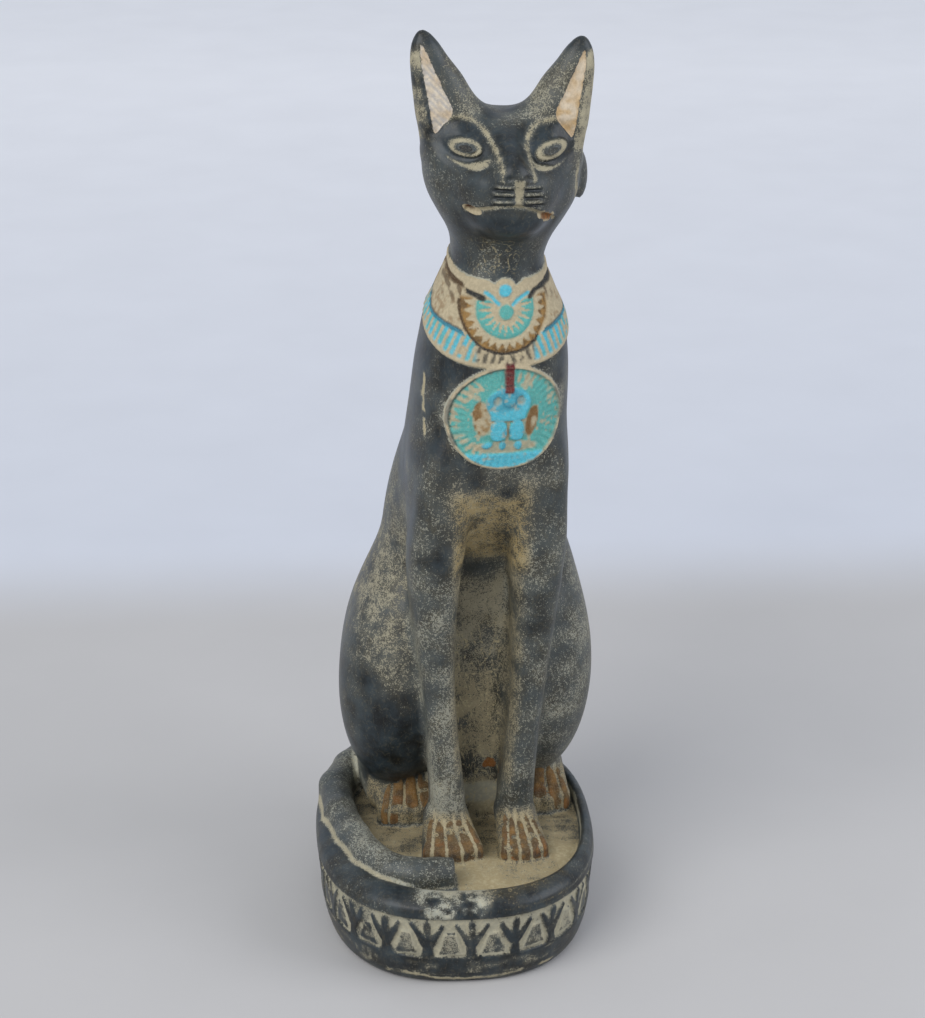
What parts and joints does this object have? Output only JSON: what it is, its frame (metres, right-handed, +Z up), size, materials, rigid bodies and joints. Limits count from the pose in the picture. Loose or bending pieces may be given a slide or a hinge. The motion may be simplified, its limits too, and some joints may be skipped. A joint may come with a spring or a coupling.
{
  "type": "bastet cat figure",
  "caption": "Seated cat figure with tall ears, a painted collar and a medallion, carved in one piece with its oval plinth.",
  "frame": {"origin": "middle of the plinth's flat underside", "axes": "+Z up, towards the ears; the cat faces -Y; its tail lies along the rim on its right side, which is -X"},
  "size_m": [0.0879, 0.1106, 0.2779],
  "materials": {
    "stone": "polished black stone with beige dust in the recesses and painted collar and medallion"
  },
  "bodies": {
    "root": {"bastet_cat_figure": "stone"}
  },
  "joints": []
}
